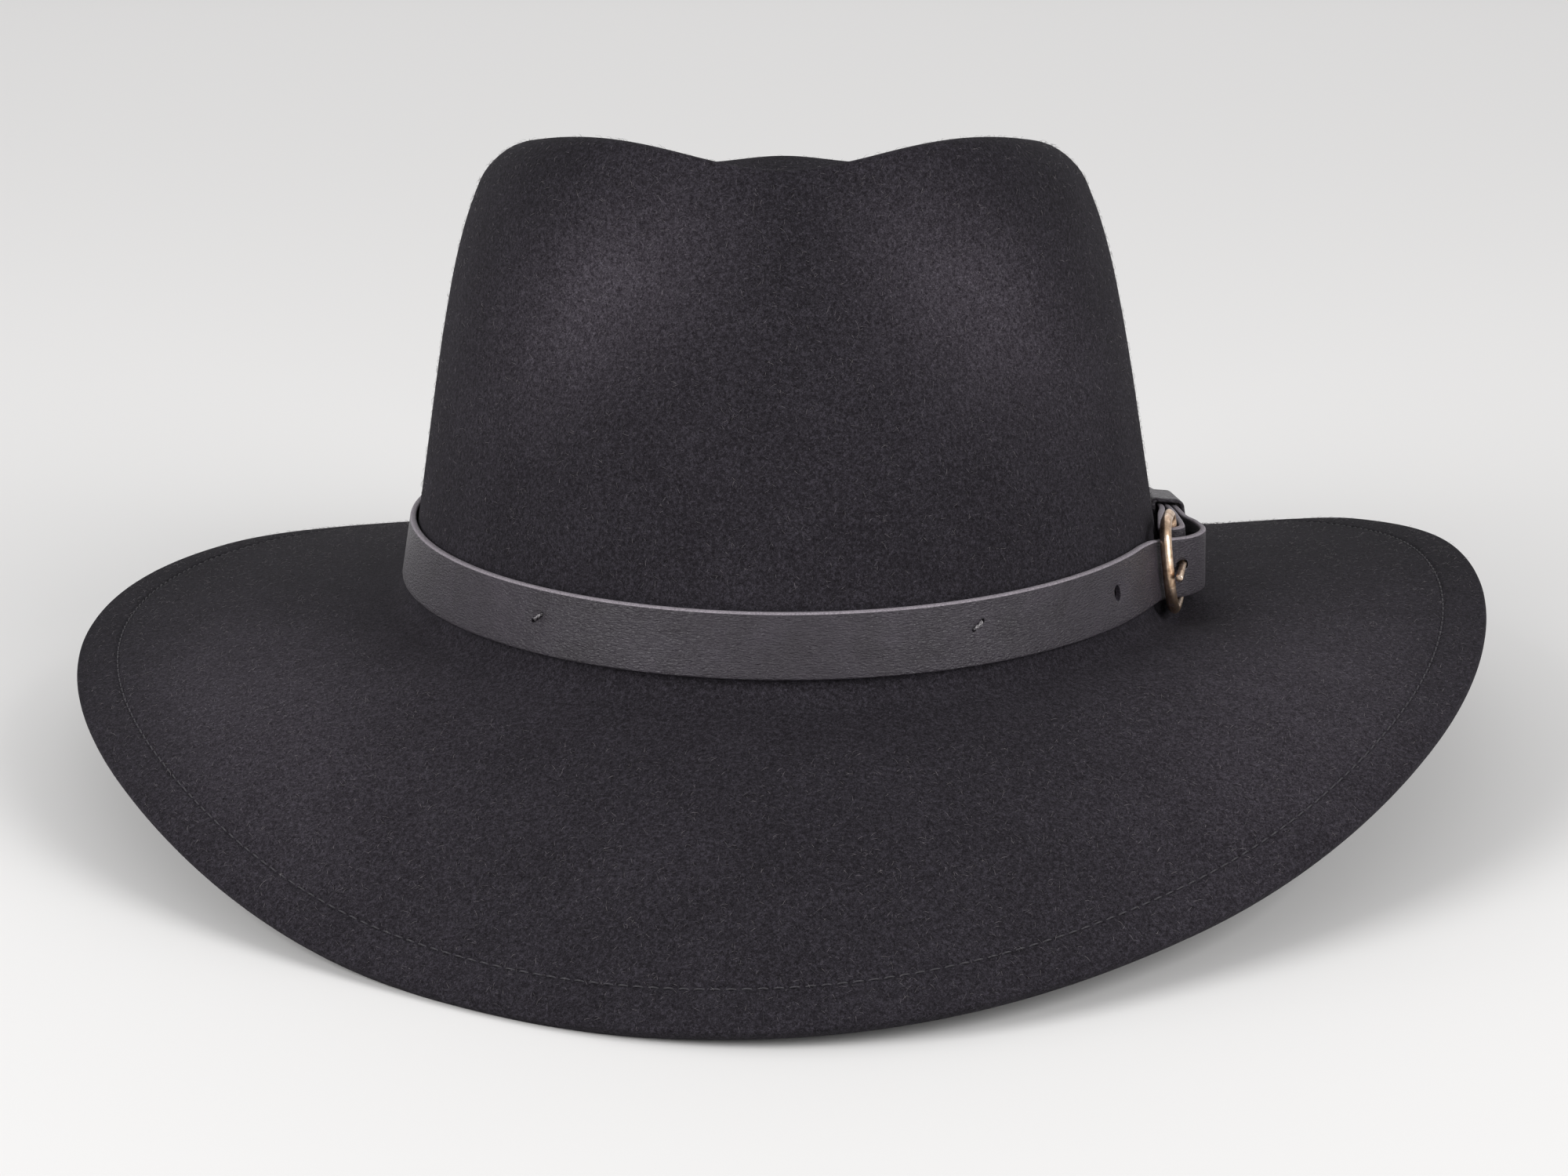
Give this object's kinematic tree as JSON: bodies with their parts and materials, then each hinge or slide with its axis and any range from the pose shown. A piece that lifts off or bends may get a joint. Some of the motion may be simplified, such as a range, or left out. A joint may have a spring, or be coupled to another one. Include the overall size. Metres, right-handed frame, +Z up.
{
  "type": "felt hat",
  "caption": "Wide-brimmed felt hat with a pinched crown, a turned and stitched brim and a narrow leather band closed by a ring buckle.",
  "frame": {"origin": "middle of the outline on the surface that the brim rests on", "axes": "+Z up, -Y towards the front of the hat, +X towards the side with the buckle, which is the wearer's left"},
  "size_m": [0.324, 0.3576, 0.1496],
  "materials": {
    "felt": "matte",
    "leather": "satin",
    "brass": "antiqued"
  },
  "bodies": {
    "root": {"felt_body": "felt", "hat_band": "leather", "keeper_loop": "leather", "buckle_frame": "brass", "buckle_prong": "brass"}
  },
  "joints": []
}
